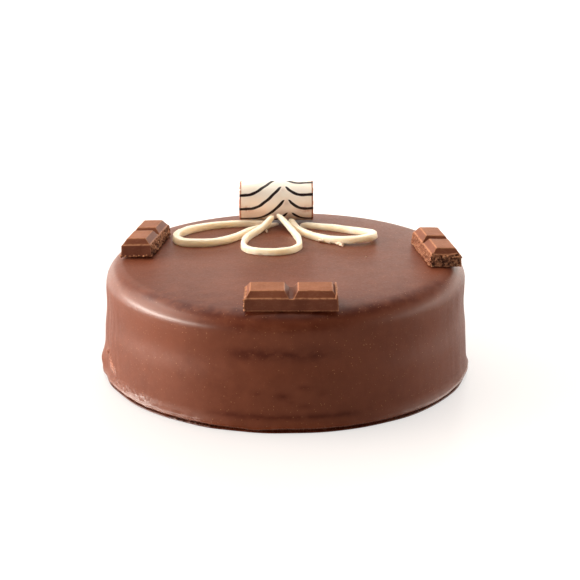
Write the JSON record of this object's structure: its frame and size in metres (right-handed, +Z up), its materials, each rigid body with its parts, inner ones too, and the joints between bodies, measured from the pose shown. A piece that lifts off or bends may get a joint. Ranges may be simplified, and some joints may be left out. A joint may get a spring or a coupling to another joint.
{
  "type": "chocolate cake",
  "caption": "Round chocolate cake under a smooth poured glaze, topped with chocolate bar pieces, piped white chocolate loops and a marbled white chocolate roll.",
  "frame": {"origin": "centre of the flat base that the cake rests on", "axes": "+Z up, -Y towards the front of the cake, +X to its right"},
  "size_m": [0.2071, 0.2067, 0.0899],
  "materials": {
    "glaze": "satin chocolate glaze",
    "milk_chocolate": "smooth moulded milk chocolate",
    "white_chocolate": "set piped white chocolate",
    "marbled_chocolate": "smooth white chocolate with dark lines"
  },
  "bodies": {
    "root": {"cake": "glaze", "piece_front": "milk_chocolate", "piece_left": "milk_chocolate", "piece_right": "milk_chocolate", "loop_left": "white_chocolate", "loop_middle": "white_chocolate", "loop_right": "white_chocolate", "marbled_roll": "marbled_chocolate"}
  },
  "joints": []
}
